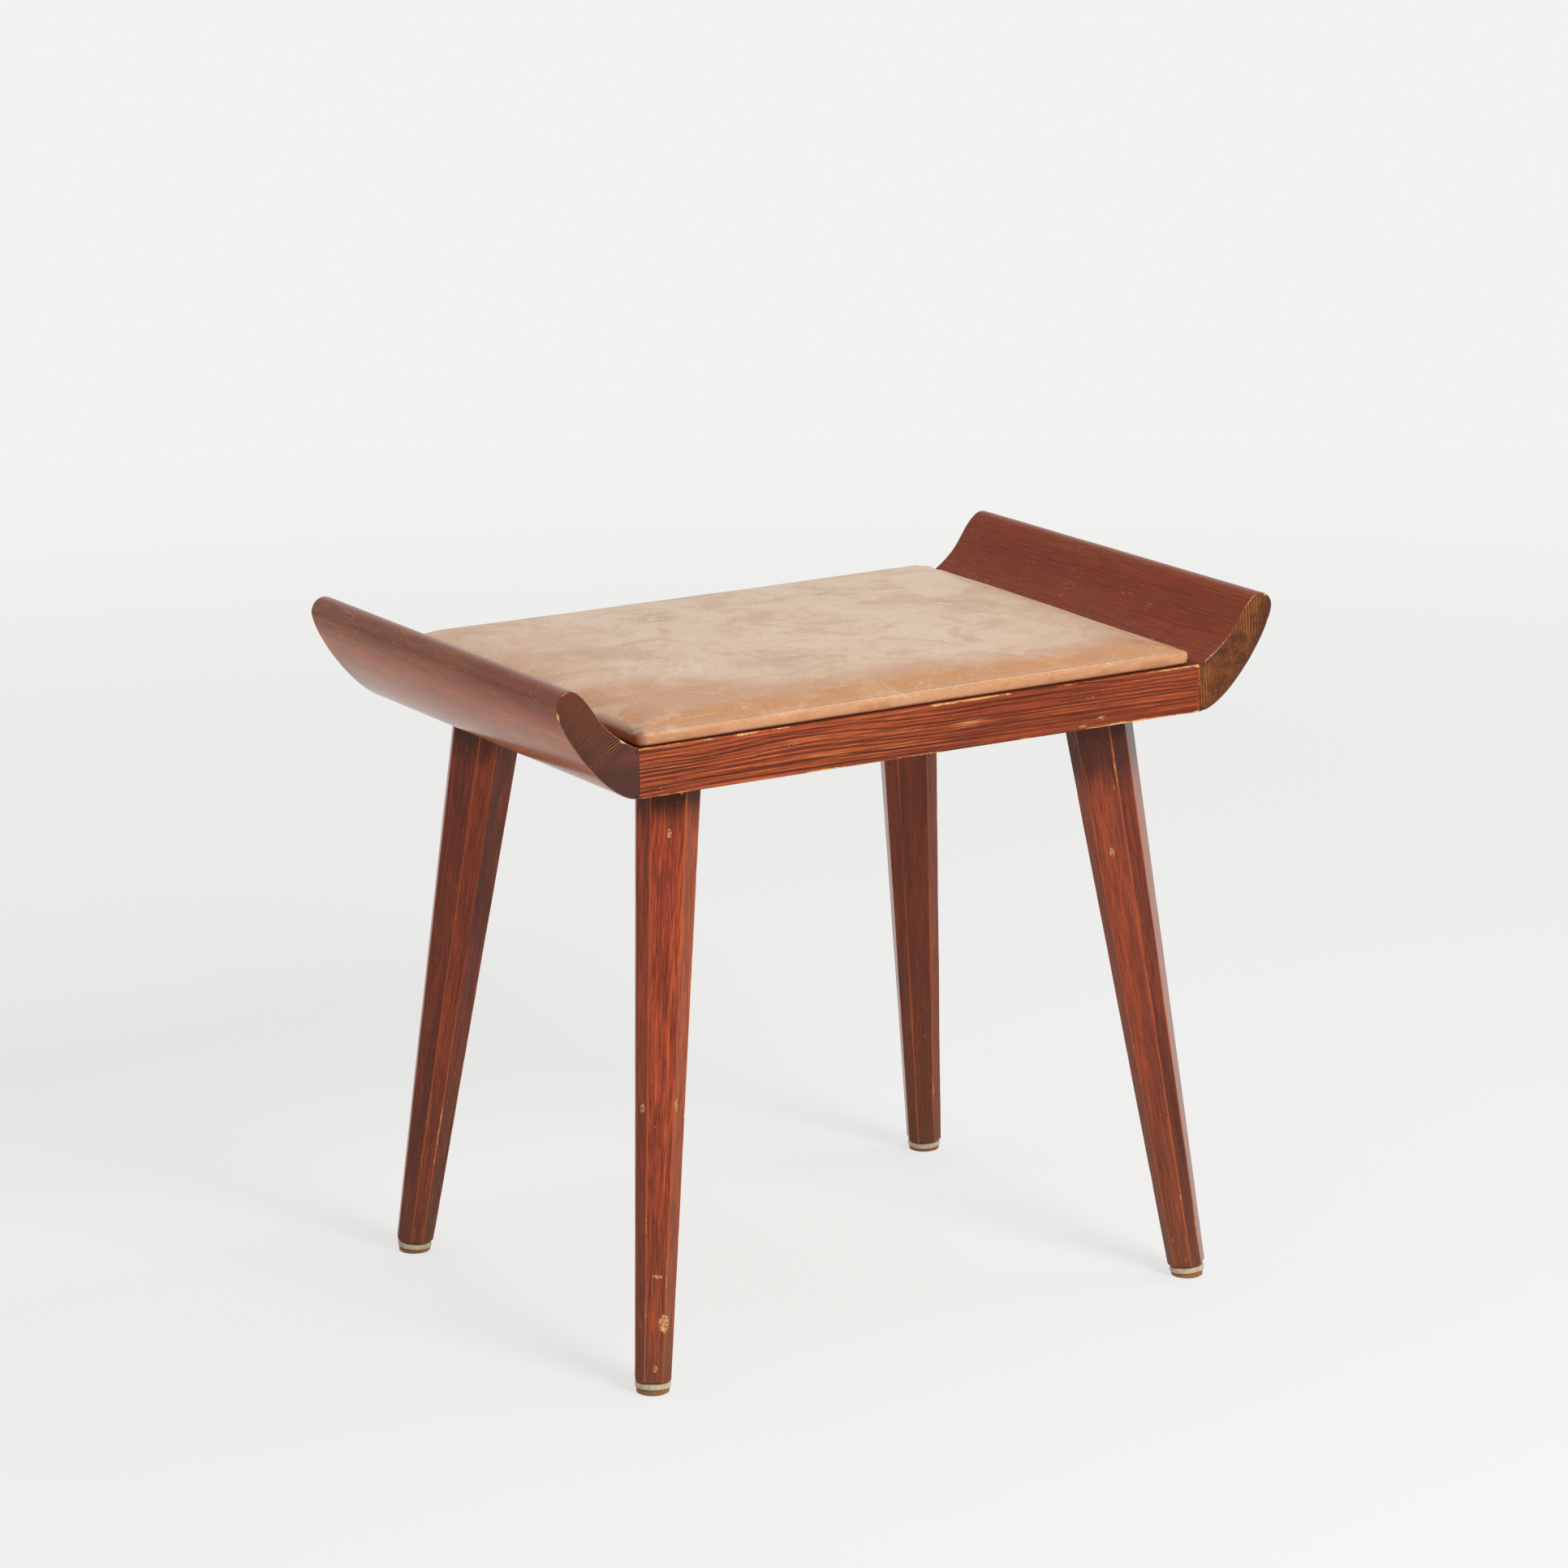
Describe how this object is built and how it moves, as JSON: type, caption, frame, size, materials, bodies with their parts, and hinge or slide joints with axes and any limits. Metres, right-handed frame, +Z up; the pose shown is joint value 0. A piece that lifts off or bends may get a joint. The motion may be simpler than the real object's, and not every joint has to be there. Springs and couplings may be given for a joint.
{
  "type": "shoe fitting stool",
  "caption": "Low wooden stool with a thin leather seat pad between two upswept end wings, on splayed eight-sided tapered legs with felted glides.",
  "frame": {"origin": "on the floor, under the middle of the seat", "axes": "+X along the stool from the left wing to the right wing, -Y to the front, +Z up"},
  "size_m": [0.5536, 0.3638, 0.4767],
  "materials": {
    "rail_wood": "stained and varnished pine, long bold grain, worn edges",
    "wing_wood": "stained and varnished pine, worn edges",
    "leg_wood": "stained and varnished, scuffed arrises",
    "bearer_wood": "bare sawn pine",
    "dowel_wood": "bare beech",
    "plywood": "bare birch plywood",
    "zinc_steel": "zinc plated",
    "blued_steel": "blued",
    "glide_plastic": "matt, soiled",
    "felt": "pressed felt",
    "foam": "open foam",
    "seat_leather": "worn tan leather, soft sheen"
  },
  "bodies": {
    "root": {"front_rail": "rail_wood", "back_rail": "rail_wood", "left_wing": "wing_wood", "right_wing": "wing_wood", "wing_dowels": "dowel_wood", "left_leg_bearer": "bearer_wood", "right_leg_bearer": "bearer_wood", "bearer_dowels": "dowel_wood", "front_left_leg": "leg_wood", "front_right_leg": "leg_wood", "back_left_leg": "leg_wood", "back_right_leg": "leg_wood", "leg_bolts": "zinc_steel", "leg_washers": "zinc_steel", "leg_nuts": "zinc_steel", "front_left_glide": "glide_plastic", "front_right_glide": "glide_plastic", "back_left_glide": "glide_plastic", "back_right_glide": "glide_plastic", "front_left_felt": "felt", "front_right_felt": "felt", "back_left_felt": "felt", "back_right_felt": "felt", "glide_nails": "zinc_steel", "seat_board": "plywood", "seat_foam": "foam", "seat_cover": "seat_leather", "cover_tacks": "blued_steel", "seat_screws": "zinc_steel"}
  },
  "joints": []
}
